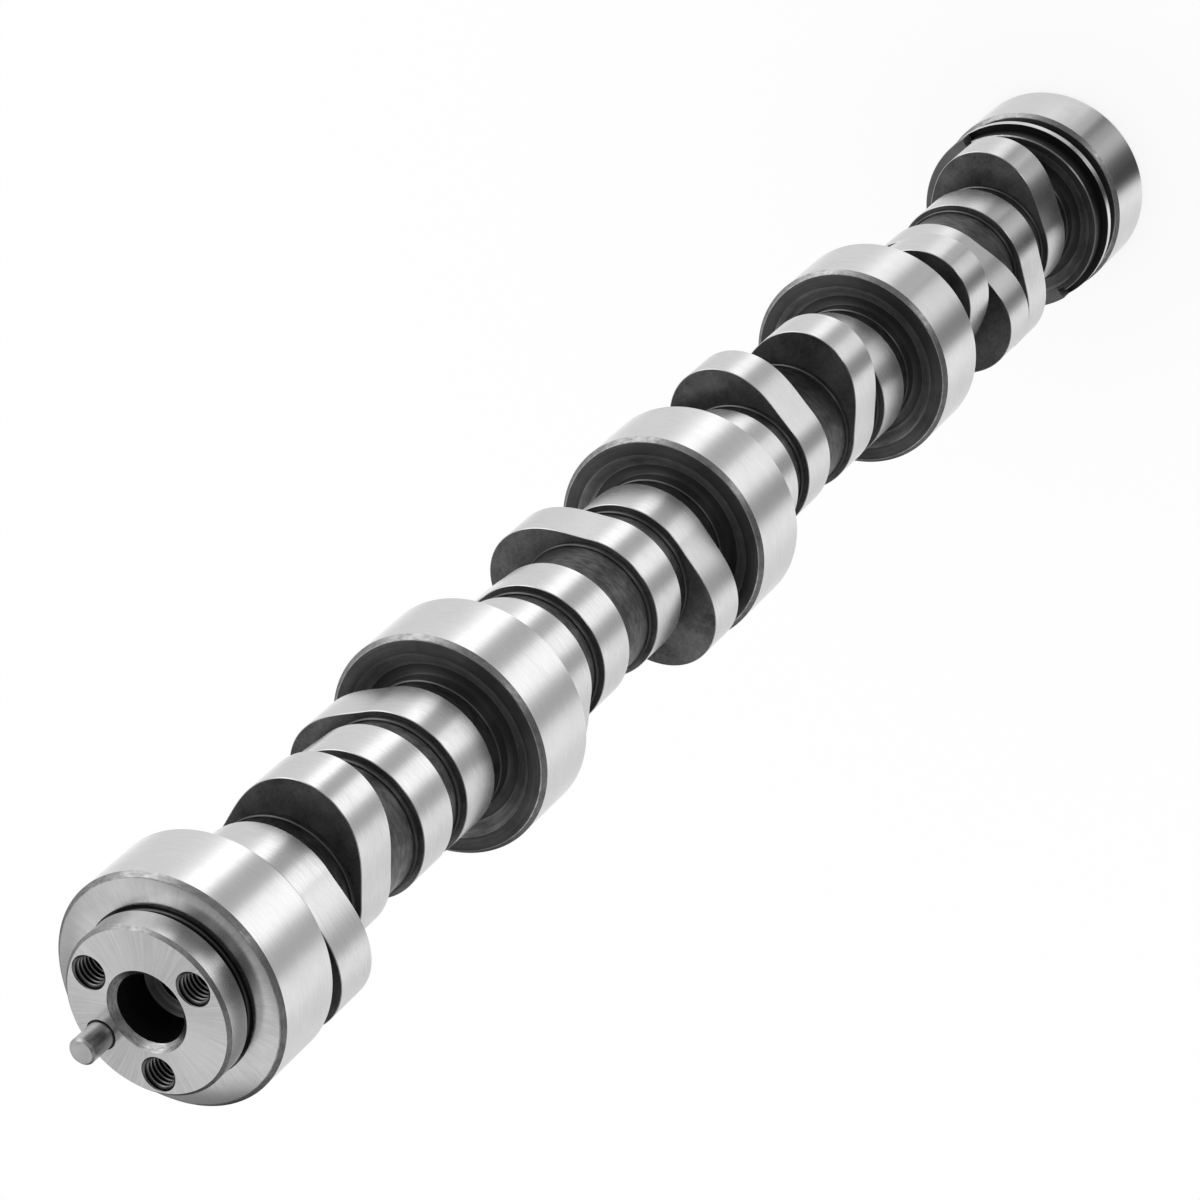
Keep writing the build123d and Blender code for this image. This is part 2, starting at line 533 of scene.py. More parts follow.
FINISHES: dict[Surface, MetalFinish] = {
    Surface.RUNNING: MetalFinish(
        "ground_steel", grey(0.70), grey(0.60), 0.18, 0.26, mark_pitch=0.15, mark_length=5.0,
        mark_depth=0.0002, cloud_share=0.3, anisotropy=0.8,
    ),
    Surface.LOBE: MetalFinish(
        "ground_lobe", grey(0.69), grey(0.58), 0.19, 0.29, mark_pitch=0.16, mark_length=4.0,
        mark_depth=0.0002, cloud_share=0.3, anisotropy=0.8,
    ),
    Surface.CHAMFER: MetalFinish(
        "turned_chamfer", grey(0.56), grey(0.22), 0.22, 0.38, mark_pitch=0.4, mark_length=1.4,
        cloud_size=3.0, cloud_share=0.4, grazing=grey(0.35),
    ),
    Surface.DISH: MetalFinish(
        "black_dish", grey(0.095), grey(0.037), 0.34, 0.5, Marks.CONCENTRIC, mark_pitch=0.25,
        mark_length=12.0, cloud_share=0.5, metallic=0.85, anisotropy=0.75,
    ),
    Surface.LOBE_SIDE: MetalFinish(
        "black_side", grey(0.165), grey(0.018), 0.30, 0.5, Marks.CLOUDY, mark_pitch=0.8, cloud_size=12.0,
        cloud_share=0.75, metallic=0.7,
    ),
    Surface.HUB: MetalFinish("turned_hub", grey(0.20), grey(0.07), 0.24, 0.40, mark_pitch=0.4),
    Surface.CORE: MetalFinish(
        "dark_core", grey(0.11), grey(0.016), 0.32, 0.5, mark_pitch=0.9, mark_length=3.0, mark_depth=0.01,
        metallic=0.8,
    ),
    Surface.RING: MetalFinish("dark_ring", grey(0.026), grey(0.008), 0.30, 0.46, metallic=0.8),
    Surface.NOSE_FACE: MetalFinish(
        "faced_nose", grey(0.64), grey(0.52), 0.20, 0.28, Marks.FAN, mark_pitch=0.3, mark_length=12.0,
        cloud_share=0.25, anisotropy=0.85,
    ),
    Surface.THRUST_FACE: MetalFinish(
        "ground_thrust_face", grey(0.61), grey(0.47), 0.14, 0.22, Marks.FAN, mark_pitch=0.3,
        mark_length=9.0, cloud_size=5.0, cloud_share=0.5, anisotropy=0.6,
    ),
    Surface.BOSS: MetalFinish(
        "turned_boss", grey(0.64), grey(0.52), 0.20, 0.26, mark_pitch=0.2, cloud_share=0.2, anisotropy=0.85
    ),
    Surface.UNDERCUT: MetalFinish("undercut", grey(0.14), grey(0.05), 0.24, 0.34),
    Surface.BORE: MetalFinish("drilled_bore", grey(0.14), grey(0.04), 0.3, 0.45, mark_depth=0.003),
    Surface.BORE_MOUTH: MetalFinish(
        "bore_mouth", grey(0.75), grey(0.10), 0.20, 0.34, mark_pitch=0.3, mark_length=2.0, mark_depth=0.003,
        cloud_size=4.0, cloud_share=0.45,
    ),
    # The thread's near-black colour is its own dark tone, darkened further as painted shade deep in the
    # hole; its crest colour is a painted highlight.
    Surface.THREAD: MetalFinish("cut_thread", grey(0.018), grey(0.005), 0.24, 0.36, crest=grey(0.32)),
    Surface.REAR_FACE: MetalFinish(
        "turned_rear_face", grey(0.5), grey(0.34), 0.24, 0.34, Marks.FAN, mark_pitch=0.5, mark_length=9.0,
        anisotropy=0.7,
    ),
    Surface.SLOPE: MetalFinish(
        "black_slope", grey(0.50), grey(0.10), 0.44, 0.62, mark_pitch=0.4, mark_length=8.0, cloud_share=0.5
    ),
    Surface.HALF_MOON: MetalFinish("half_moon", grey(0.21), grey(0.08), 0.30, 0.46, metallic=0.8),
}

PIN_FINISH = MetalFinish(
    "pin_ground_steel", grey(0.60), grey(0.42), 0.30, 0.38, mark_length=6.0, anisotropy=0.3
)


@dataclass(frozen=True)
class Ring:
    """One ring of points on a turned surface, and the finish from it to the next ring.

    Attributes:
        radius: the ring's radius.
        height: its height on the axis.
        surface: the finish from here to the next ring.
        half_radius: the radius on the pin's side, where it differs.
        notch_radius: the radius in the notches beside that side, where it differs.
        nose_angle: where the nose of a lobe's ring points.
        inset: how far a lobe's ring lies inside the lobe's outline.
        lobe: 1 where the ring has a lobe's outline, and 0 where it is round.
    """

    radius: float
    height: float
    surface: Surface
    half_radius: float | None = None
    notch_radius: float | None = None
    nose_angle: float = 0.0
    inset: float = 0.0
    lobe: float = 0.0


@dataclass
class Profile:
    """The rings of a turned piece, in order along its surface."""

    rings: list[Ring] = field(default_factory=list)

    def to(
        self,
        radius: float,
        height: float,
        surface: Surface,
        half_radius: float | None = None,
        notch_radius: float | None = None,
    ) -> None:
        """Adds a round ring.

        Args:
            radius: the ring's radius.
            height: its height on the axis.
            surface: the finish from here to the next ring.
            half_radius: the radius on the pin's side, where it differs.
            notch_radius: the radius in the notches beside that side, where it differs.
        """
        self.rings.append(Ring(radius, height, surface, half_radius, notch_radius))

    def run(self, points: Iterable[tuple[float, float]], surface: Surface) -> None:
        """Adds several round rings of one finish."""
        for radius, height in points:
            self.to(radius, height, surface)

    def follow(self, corners: Iterable[Corner]) -> None:
        """Adds a round ring at each corner."""
        for corner in corners:
            self.to(*corner)

    def mesh(self, name: str) -> bpy.types.Mesh:
        """Makes a point for each ring, with the ring's data stored on it.

        Args:
            name: the mesh's name.

        Returns:
            The mesh, in metres.
        """
        rings = self.rings
        half = [ring.radius if ring.half_radius is None else ring.half_radius for ring in rings]
        notch = [ring.radius if ring.notch_radius is None else ring.notch_radius for ring in rings]
        made = bpy.data.meshes.new(name)
        made.from_pydata([(ring.radius * MM, 0.0, ring.height * MM) for ring in rings], [], [])
        columns = {
            "half_radius": [radius * MM for radius in half],
            "notch_radius": [radius * MM for radius in notch],
            "nose_angle": [math.radians(ring.nose_angle) for ring in rings],
            "inset": [ring.inset * MM for ring in rings],
            "lobe": [ring.lobe for ring in rings],
            "ring_surface": [float(ring.surface) for ring in rings],
        }
        for label, values in columns.items():
            made.attributes.new(label, "FLOAT", "POINT").data.foreach_set("value", values)
        return made


def other_way(corners: list[Corner], last: Surface) -> list[Corner]:
    """The same corners in the other order, each with the finish of the span that now follows it.

    Args:
        corners: the corners.
        last: the finish after the last corner of the new order.

    Returns:
        The corners in the other order.
    """
    surfaces = [surface for _, _, surface in corners[:-1]][::-1] + [last]
    return [(radius, height, surface) for (radius, height, _), surface in zip(corners[::-1], surfaces)]


@dataclass(frozen=True)
class HubShape:
    """The short hub beside a lobe or a dished face, and the core between two hubs."""

    radius: float = 17.2
    width: float = 1.5
    edge: float = 0.25
    core_radius: float = 16.6

    def end(self, height: float, side: int) -> list[Corner]:
        """The hub's end, from its wall in to the core.

        Args:
            height: the height of the face that the hub stands on.
            side: 1 where the hub points up, -1 where it points down.

        Returns:
            The corners.
        """
        return [
            (self.radius, height + side * (self.width - self.edge), Surface.HUB),
            (self.radius - self.edge, height + side * self.width, Surface.CORE),
            (self.core_radius, height + side * self.width, Surface.CORE),
        ]


@dataclass(frozen=True)
class LobeShape:
    """The cam lobes: a base circle and a lift that a roller follows."""

    width: float = 12.5
    base_radius: float = 18.4
    lift: float = 8.7
    half_event: float = 75.3
    roller_radius: float = 8.9
    edge: float = 0.16
    hub: HubShape = field(default_factory=HubShape)

    def add_to(self, profile: Profile, middle: float, nose_angle: float) -> None:
        """Adds one lobe with its two hubs to a profile.

        Args:
            profile: the shaft's rings so far.
            middle: the height of the lobe's middle.
            nose_angle: where the lobe's nose points.
        """
        low, high = middle - self.width / 2, middle + self.width / 2
        profile.follow(other_way(self.hub.end(low, -1), Surface.CORE))
        profile.to(self.hub.radius, low, Surface.LOBE_SIDE)
        outline = (
            (self.edge, low, Surface.LOBE),
            (0.0, low + self.edge, Surface.LOBE),
            (0.0, high - self.edge, Surface.LOBE),
            (self.edge, high, Surface.LOBE_SIDE),
        )
        for inset, height, surface in outline:
            ring = Ring(self.base_radius, height, surface, nose_angle=nose_angle, inset=inset, lobe=1.0)
            profile.rings.append(ring)
        profile.to(self.hub.radius, high, Surface.CORE)
        profile.follow(self.hub.end(high, 1))


@dataclass(frozen=True)
class LobeTiming:
    """Where the sixteen lobes stand and point."""

    firing_order: tuple[int, ...] = (1, 8, 7, 2, 6, 5, 4, 3)
    bank_angle: float = 90.0
    separation: float = 112.5
    first_intake: float = 104.3
    inner_offset: float = 13.55
    outer_offset: float = 32.55

    def places(self, gap: int, middle: float) -> list[tuple[float, float]]:
        """The four lobes of one gap between journals.

        Args:
            gap: the gap's number, from the front.
            middle: the height of the gap's middle.

        Returns:
            Height and nose angle of each lobe, from the rear up.
        """
        turn = 360 / len(self.firing_order)
        odd = self.first_intake + self.firing_order.index(2 * gap + 1) * turn
        even = self.first_intake + self.firing_order.index(2 * gap + 2) * turn + self.bank_angle
        return [
            (middle - self.outer_offset, even),
            (middle - self.inner_offset, odd - self.separation),
            (middle + self.inner_offset, even - self.separation),
            (middle + self.outer_offset, odd),
        ]


@dataclass(frozen=True)
class JournalShape:
    """The bearing journals and their dished faces.

    The slope of a dish follows a curve: how far in it is, as a share of the way to the floor, and
    how deep it is there, as a share of the floor's depth.
    """

    radius: float = 27.5
    width: float = 20.9
    front_width: float = 20.3
    rear_width: float = 19.7
    chamfer: float = 1.0
    edge: float = 0.14
    dish_radius: float = 23.1
    dish_edge: float = 0.12
    floor_radius: float = 20.0
    dish_depth: float = 1.6
    slope_curve: Curve = ((0.22, 0.17), (0.50, 0.48), (0.78, 0.78), (1.02, 0.94), (1.3, 1.0))
    fillet: float = 0.7
    hub: HubShape = field(default_factory=HubShape)

    def rim(self, height: float, side: int) -> list[Corner]:
        """The chamfered edge of a journal, from the running surface to the flat rim.

        Args:
            height: the height of the journal's face.
            side: 1 where the face looks up, -1 where it looks down.

        Returns:
            The corners.
        """
        slant = self.edge * math.sqrt(0.5)
        return [
            (self.radius, height - side * (self.chamfer + self.edge), Surface.CHAMFER),
            (self.radius - slant, height - side * (self.chamfer + self.edge - slant), Surface.CHAMFER),
            (self.radius - self.chamfer + slant, height - side * slant, Surface.CHAMFER),
            (self.radius - self.chamfer - self.edge, height, Surface.DISH),
        ]

    def dish(self, height: float, side: int) -> list[Corner]:
        """The dished face, from its edge in to the core.

        Args:
            height: the height of the journal's face.
            side: 1 where the face looks up, -1 where it looks down.

        Returns:
            The corners.
        """
        floor = height - side * self.dish_depth
        wall = self.hub.radius
        corners = [
            (self.dish_radius + self.dish_edge, height, Surface.DISH),
            (self.dish_radius, height - side * self.dish_edge * CORNER_SHARE, Surface.SLOPE),
        ]
        for share, depth in self.slope_curve:
            radius = self.dish_radius + share * (self.floor_radius - self.dish_radius)
            surface = Surface.SLOPE if share < 1.0 else Surface.DISH
            corners.append((radius, height - side * depth * self.dish_depth, surface))
        lift = self.fillet * CORNER_SHARE
        corners += [
            (wall + self.fillet, floor, Surface.DISH),
            (wall + lift, floor + side * lift, Surface.DISH),
            (wall, floor + side * self.fillet, Surface.DISH),
        ]
        return corners + self.hub.end(height, side)

    def face(self, height: float, side: int) -> list[Corner]:
        """A whole dished face with its rim, from the running surface in to the core."""
        return self.rim(height, side) + self.dish(height, side)


@dataclass
class Camshaft:
    """The shaft itself, one piece of steel."""

    pitch: float = 111.76
    fourth_bearing: float = 132.0
    front_shift: float = 0.5
    columns: int = 240
    hole_columns: int = 48
    journal: JournalShape = field(default_factory=JournalShape)
    lobe: LobeShape = field(default_factory=LobeShape)
    timing: LobeTiming = field(default_factory=LobeTiming)
    groove_radius: float = 24.0
    groove_width: float = 4.6
    guard_radius: float = 27.0
    guard_width: float = 2.0
    ring_width: float = 4.8
    ring_radius: float = 25.2
    half_moon_radius: float = 26.9
    half_moon_angle: float = 180.0
    ring_chamfer: float = 0.3
    guard_edge: float = 0.06
    notch_radius: float = 24.0
    notch_columns: int = 3
    boss_radius: float = 19.9
    boss_length: float = 8.3
    boss_chamfer: float = 0.8
    undercut_width: float = 1.8
    undercut_depth: float = 1.0
    undercut_sink: float = 0.3
    boss_edge: float = 0.08
    gun_radius: float = 5.5
    gun_mouth: float = 2.0
    bore_radius: float = 8.1
    bore_depth: float = 11.8
    bore_mouth: float = 1.5
    drill_point: float = 118.0
    fixing_radius: float = 14.65
    hole_count: int = 3
    thread_pitch: float = 1.25
    thread_minor: float = 3.325
    thread_major: float = 4.0
    thread_length: float = 20.0
    hole_mouth: float = 4.1
    hole_depth: float = 22.0
    pin_hole_radius: float = 3.55
    pin_hole_floor: float = 1.0

    @property
    def front_height(self) -> float:
        """The height of the front journal's middle."""
        return self.fourth_bearing + 3 * self.pitch + self.front_shift

    @property
    def thrust_height(self) -> float:
        """The height of the thrust face."""
        return self.front_height + self.journal.front_width / 2

    @property
    def nose_height(self) -> float:
        """The height of the nose face."""
        return self.thrust_height + self.boss_length

    def profile(self) -> Profile:
        """All the rings, from the bore's mouth down the bore, round the rear and up the outside."""
        made = Profile()
        self.add_bore(made)
        self.add_rear(made)
        for gap in (3, 2, 1, 0):
            bearing = self.fourth_bearing + (3 - gap) * self.pitch
            for height, angle in self.timing.places(gap, bearing - self.pitch / 2):
                self.lobe.add_to(made, height, angle)
            if gap:
                self.add_journal(made, bearing)
        self.add_nose(made)
        return made

    def add_bore(self, made: Profile) -> None:
        """Adds the stepped bore, from its mouth in the nose to its mouth in the rear face.

        Args:
            made: the rings so far.
        """
        step = self.nose_height - self.bore_depth
        cone = (self.bore_radius - self.gun_radius) / math.tan(math.radians(self.drill_point / 2))
        made.to(self.bore_radius + self.bore_mouth, self.nose_height, Surface.BORE_MOUTH)
        made.to(self.bore_radius, self.nose_height - self.bore_mouth, Surface.BORE)
        made.to(self.bore_radius, step, Surface.BORE)
        made.to(self.gun_radius, step - cone, Surface.BORE)
        made.to(self.gun_radius, self.gun_mouth, Surface.REAR_FACE)
        made.to(self.gun_radius + self.gun_mouth, 0.0, Surface.REAR_FACE)

    def add_rear(self, made: Profile) -> None:
        """Adds the rear journal, the groove, the guard ring and the timing ring.

        Args:
            made: the rings so far.
        """
        width = self.journal.rear_width
        guard = width + self.groove_width
        timing = guard + self.guard_width
        top = timing + self.ring_width
        edge, chamfer = self.guard_edge, self.ring_chamfer
        notch, half_moon = self.notch_radius, self.half_moon_radius
        made.follow(other_way(self.journal.rim(0.0, -1), Surface.RUNNING))
        made.follow(self.journal.rim(width, 1))
        made.run([(self.groove_radius, width), (self.groove_radius, guard)], Surface.RING)
        made.to(self.guard_radius - edge, guard, Surface.RUNNING)
        made.to(self.guard_radius, guard + edge, Surface.RUNNING)
        made.to(self.guard_radius, timing - edge, Surface.RUNNING)
        made.to(self.guard_radius - edge, timing, Surface.RING)
        made.to(self.ring_radius, timing, Surface.RING, half_moon, notch)
        made.to(self.ring_radius, top - chamfer, Surface.CHAMFER, half_moon, notch)
        made.to(self.ring_radius - chamfer, top, Surface.DISH, half_moon - chamfer, notch - chamfer)
        made.follow(self.journal.dish(top, 1))

    def add_journal(self, made: Profile, bearing: float) -> None:
        """Adds a journal with its two dished faces.

        Args:
            made: the rings so far.
            bearing: the height of the journal's middle.
        """
        half = self.journal.width / 2
        made.follow(other_way(self.journal.face(bearing - half, -1), Surface.RUNNING))
        made.follow(self.journal.face(bearing + half, 1))

    def add_nose(self, made: Profile) -> None:
        """Adds the front journal, the thrust face and the boss, up to the edge of the nose face.

        Args:
            made: the rings so far.
        """
        half = self.journal.front_width / 2
        made.follow(other_way(self.journal.face(self.front_height - half, -1), Surface.RUNNING))
        *rim, (radius, height, _) = self.journal.rim(self.thrust_height, 1)
        made.follow([*rim, (radius, height, Surface.THRUST_FACE)])
        wall, floor, fillet = self.boss_radius, self.boss_radius - self.undercut_depth, self.undercut_sink
        low, high = self.thrust_height - self.undercut_sink, self.thrust_height + self.undercut_width
        undercut = [
            (wall + self.undercut_sink, self.thrust_height),
            (wall + fillet / 2, low),
            (floor + fillet, low),
            (floor, low + fillet),
            (floor, high - fillet),
            (floor + fillet, high),
        ]
        made.run(undercut, Surface.UNDERCUT)
        made.run([(wall - self.boss_edge, high), (wall, high + self.boss_edge)], Surface.BOSS)
        made.to(wall, self.nose_height - self.boss_chamfer, Surface.CHAMFER)
        made.to(wall - self.boss_chamfer, self.nose_height, Surface.NOSE_FACE)

    def tree(self, finishes: dict[int, bpy.types.Material]) -> GeometryTree:
        """Builds the shaft's Geometry Nodes tree.

        Args:
            finishes: the material of each surface.

        Returns:
            The tree, whose mesh input holds one point for each ring.
        """
        tree = GeometryTree("camshaft_shape")
        turned = RingSurface(tree).build()
        nose = NoseHoles(tree).build()
        tree.finish(tree.join([turned, nose]), finishes)
        return tree

    def build(self, finishes: dict[int, bpy.types.Material]) -> bpy.types.Object:
        """Makes the shaft.

        Args:
            finishes: the material of each surface.

        Returns:
            The finished piece.
        """
        profile = self.profile()
        LOG.info("camshaft profile: %d rings", len(profile.rings))
        tree = self.tree(finishes)
        turns = math.ceil(self.thread_length / self.thread_pitch) + 1
        point = self.thread_minor / math.tan(math.radians(self.drill_point / 2))
        values = {
            "Rings": len(profile.rings),
            "Columns": self.columns,
            "Half-moon angle": math.radians(self.half_moon_angle),
            "Notch columns": self.notch_columns,
            "Base radius": self.lobe.base_radius * MM,
            "Lift": self.lobe.lift * MM,
            "Half event": math.radians(self.lobe.half_event),
            "Roller radius": self.lobe.roller_radius * MM,
            "Nose height": self.nose_height * MM,
            "Nose radius": (self.boss_radius - self.boss_chamfer) * MM,
            "Bore mouth": (self.bore_radius + self.bore_mouth) * MM,
            "Fixing radius": self.fixing_radius * MM,
            "Holes": self.hole_count,
            "Hole columns": self.hole_columns,
            "Hole mouth": self.hole_mouth * MM,
            "Thread rows": ROWS_PER_TURN * turns + 3,
            "Thread pitch": self.thread_pitch * MM,
            "Thread minor": self.thread_minor * MM,
            "Thread major": self.thread_major * MM,
            "Thread length": self.thread_length * MM,
            "Hole depth": self.hole_depth * MM,
            "Point depth": (self.hole_depth + point) * MM,
            "Pin hole radius": self.pin_hole_radius * MM,
            "Pin hole floor": self.pin_hole_floor * MM,
        }
        return apply_tree("shaft", profile.mesh("shaft_rings"), tree, values)


@dataclass
class RingSurface:
    """Nodes that carry the profile's rings round the axis, round or along a lobe's outline."""

    tree: GeometryTree

    def build(self) -> bpy.types.NodeSocket:
        """Adds the nodes.

        At each end of the half-moon and of its notches two columns share one angle, so that the
        wall between them stands straight.

        Returns:
            The turned surface, with each face's finish stored on it.
        """
        tree = self.tree
        rings, count = tree.count("Rings"), tree.count("Columns")
        mesh, ring, column = tree.grid(rings, tree.add(count, float(EXTRA_COLUMNS)))
        first = tree.times(count, tree.minus(0.5, tree.over(tree.size("Half-moon angle"), 4 * math.pi)))
        second, notch = tree.minus(count, first), tree.count("Notch columns")
        ends = (
            tree.minus(first, notch),
            tree.add(first, 1.0),
            tree.add(second, 2.0),
            tree.add(second, notch, 3.0),
        )
        past = [tree.math("GREATER_THAN", column, tree.add(end, 0.5)) for end in ends]
        step = tree.minus(column, tree.add(*past))
        turn = tree.minus(tree.times(tree.over(step, count), math.tau), math.pi)
        on_half_moon = tree.minus(past[1], past[2])
        in_notch = tree.minus(tree.minus(past[0], past[3]), on_half_moon)
        plain_radius, height = self.ring_place(ring)
        half_radius = self.of_ring("half_radius", ring)
        radius = tree.blend(on_half_moon, plain_radius, half_radius)
        radius = tree.blend(in_notch, radius, self.of_ring("notch_radius", ring))
        stands_out = tree.math("GREATER_THAN", tree.minus(half_radius, plain_radius), MERGE_DISTANCE)
        along, across = self.lobe_outline(turn, ring)
        is_lobe = self.of_ring("lobe", ring)
        along = tree.blend(is_lobe, radius, along)
        across = tree.times(is_lobe, across)
        sine, cosine = tree.math("SINE", turn), tree.math("COSINE", turn)
        point = tree.xyz(
            tree.minus(tree.times(along, cosine), tree.times(across, sine)),
            tree.add(tree.times(along, sine), tree.times(across, cosine)),
            height,
        )
        mesh = tree.store(mesh, "ring", ring, "POINT")
        mesh = tree.store(mesh, "half_moon", tree.times(on_half_moon, stands_out), "POINT")
        lower_ring = tree.math("FLOOR", tree.named("ring"))
        is_half_moon = tree.math("GREATER_THAN", tree.named("half_moon"), HALF_MOON_SHARE)
        usual = self.of_ring("ring_surface", lower_ring)
        surface = tree.blend(is_half_moon, usual, float(Surface.HALF_MOON))
        return tree.bend(tree.store(mesh, "surface", surface), point)

    def of_ring(self, name: str, ring: Any) -> bpy.types.NodeSocket:
        """Reads a number that is stored with a ring.

        Args:
            name: the number's name.
            ring: the ring's number.

        Returns:
            The number.
        """
        profile = self.tree.source.outputs["Geometry"]
        inputs = {"Geometry": profile, "Value": self.tree.named(name), "Index": ring}
        return self.tree.geometry("GeometryNodeSampleIndex", inputs, data_type="FLOAT")

    def ring_place(self, ring: Any) -> tuple[bpy.types.NodeSocket, bpy.types.NodeSocket]:
        """Reads where a ring lies.

        Args:
            ring: the ring's number.

        Returns:
            Its radius and its height.
        """
        profile = self.tree.source.outputs["Geometry"]
        place = self.tree.geometry("GeometryNodeInputPosition")
        inputs = {"Geometry": profile, "Value": place, "Index": ring}
        sample = self.tree.geometry("GeometryNodeSampleIndex", inputs, data_type="FLOAT_VECTOR")
        parts = self.tree.node("ShaderNodeSeparateXYZ", {0: sample}).outputs
        return parts["X"], parts["Z"]

    def lobe_outline(self, turn: Any, ring: Any) -> tuple[bpy.types.NodeSocket, bpy.types.NodeSocket]:
        """Where the roller touches the lobe.

        Args:
            turn: the angle of the line through the roller's middle.
            ring: the ring's number.

        Returns:
            How far the point lies along that line and across it.
        """
        tree = self.tree
        base, lift = tree.size("Base radius"), tree.size("Lift")
        half, roller = tree.size("Half event"), tree.size("Roller radius")
        off_nose = tree.math("WRAP", tree.minus(turn, self.of_ring("nose_angle", ring)), math.pi, -math.pi)
        part = tree.over(off_nose, half)
        share = tree.math("MAXIMUM", tree.minus(1.0, tree.times(part, part)), 0.0)
        path = tree.add(base, roller, tree.times(lift, share, share))
        slope = tree.over(tree.times(-4.0, lift, share, part), half)
        normal = tree.math("SQRT", tree.add(tree.times(path, path), tree.times(slope, slope)))
        reach = tree.over(tree.add(roller, self.of_ring("inset", ring)), normal)
        return tree.minus(path, tree.times(reach, path)), tree.times(reach, slope)


@dataclass
class NoseHoles:
    """Nodes for the nose face with its tapped holes and the pin's hole."""

    tree: GeometryTree

    def build(self) -> bpy.types.NodeSocket:
        """Adds the nodes.

        Returns:
            The flat nose face and the walls of its holes.
        """
        tree = self.tree
        height, edge, bore = (tree.size(n) for n in ("Nose height", "Nose radius", "Bore mouth"))
        fixing, holes, around = tree.size("Fixing radius"), tree.count("Holes"), tree.count("Hole columns")
        mouth, pin_radius = tree.size("Hole mouth"), tree.size("Pin hole radius")
        circle = tree.geometry("GeometryNodeMeshCircle", {"Vertices": holes, "Radius": fixing})
        half_turn = tree.xyz(z=tree.over(math.pi, holes))
        places = tree.geometry("GeometryNodeTransform", {"Geometry": circle, "Rotation": half_turn})
        mouths = self.repeated(places, tree.circle(around, mouth))
        pin_place, columns = tree.xyz(fixing), tree.source.outputs["Columns"]
        rims = [tree.circle(columns, edge), tree.circle(columns, bore)]
        pin_mouth = tree.moved(tree.circle(around, pin_radius), pin_place)
        face = tree.geometry("GeometryNodeFillCurve", {"Curve": tree.join([*rims, mouths, pin_mouth])})
        face = tree.store(face, "surface", float(Surface.NOSE_FACE))
        wells = self.repeated(places, self.thread(around, mouth))
        pin_well = tree.moved(self.pin_hole(around, pin_radius), pin_place)
        return tree.moved(tree.join([face, wells, pin_well]), tree.xyz(z=height))

    def repeated(self, places: Any, form: Any) -> bpy.types.NodeSocket:
        """Puts a form at each of the tapped holes."""
        made = self.tree.geometry("GeometryNodeInstanceOnPoints", {"Points": places, "Instance": form})
        return self.tree.geometry("GeometryNodeRealizeInstances", {"Geometry": made})

    def thread(self, around: Any, mouth: Any) -> bpy.types.NodeSocket:
        """A right-hand thread, cut off by the countersunk mouth and closed by the drill's point.

        Its crest takes a quarter of the pitch, its root an eighth, and its flanks the rest.

        Args:
            around: the number of steps round the hole.
            mouth: the radius of the hole's mouth.

        Returns:
            The hole's wall, from its mouth at the origin down.
        """
        tree = self.tree
        rows, pitch = tree.count("Thread rows"), tree.size("Thread pitch")
        minor, major, length = (tree.size("Thread " + n) for n in ("minor", "major", "length"))
        depth, point = tree.size("Hole depth"), tree.size("Point depth")
        mesh, row, column = tree.grid(rows, tree.add(around, 1.0))
        part, rows_per_turn = tree.over(column, around), float(ROWS_PER_TURN)
        phase = tree.math("MODULO", row, rows_per_turn)
        in_root, root_end = tree.math("GREATER_THAN", phase, 1.5), tree.math("GREATER_THAN", phase, 2.5)
        shifts = (tree.times(1 / 4, phase), tree.times(1 / 16, in_root), tree.times(-1 / 8, root_end))
        turns = tree.add(tree.math("FLOOR", tree.over(row, rows_per_turn)), *shifts)
        height = tree.times(pitch, tree.minus(part, turns))
        below = tree.math("LESS_THAN", height, tree.times(-1.0, length))
        height = tree.math("MINIMUM", tree.math("MAXIMUM", height, tree.times(-1.0, length)), 0.0)
        cut = tree.times(in_root, tree.minus(1.0, below))
        radius = tree.math("MAXIMUM", tree.blend(cut, minor, major), tree.add(mouth, height))
        last = tree.math("GREATER_THAN", row, tree.minus(rows, 1.5))
        plain = tree.math("GREATER_THAN", row, tree.minus(rows, 2.5))
        height = tree.blend(plain, height, tree.times(-1.0, tree.blend(last, depth, point)))
        radius = tree.blend(plain, radius, tree.times(minor, tree.minus(1.0, last)))
        # Marks the crest, where the thread's painted highlight goes.
        mesh = tree.store(mesh, "crest", tree.minus(1.0, in_root), "POINT")
        mesh = tree.store(mesh, "surface", float(Surface.THREAD))
        return tree.bend(mesh, self.around(radius, part, height))

    def pin_hole(self, around: Any, radius: Any) -> bpy.types.NodeSocket:
        """The clearance ring about the foot of the pin, closed by a floor.

        Its three rows of points are the mouth, the floor's edge and the floor's middle.

        Args:
            around: the number of steps round the hole.
            radius: the radius of the hole.

        Returns:
            The wall and the floor, from the mouth at the origin down.
        """
        tree = self.tree
        mesh, row, column = tree.grid(3, tree.add(around, 1.0))
        deep = tree.math("MINIMUM", row, 1.0)
        height = tree.times(-1.0, deep, tree.size("Pin hole floor"))
        width = tree.times(radius, tree.math("LESS_THAN", row, 1.5))
        mesh = tree.store(mesh, "surface", float(Surface.BORE))
        return tree.bend(mesh, self.around(width, tree.over(column, around), height))

    def around(self, radius: Any, part: Any, height: Any) -> bpy.types.NodeSocket:
        """A point about the hole's axis.

        Args:
            radius: how far the point lies from the axis.
            part: its direction, as a part of a turn.
            height: its height.

        Returns:
            The point.
        """
        angle = self.tree.times(part, math.tau)
        cosine, sine = self.tree.math("COSINE", angle), self.tree.math("SINE", angle)
        return self.tree.xyz(self.tree.times(radius, cosine), self.tree.times(radius, sine), height)


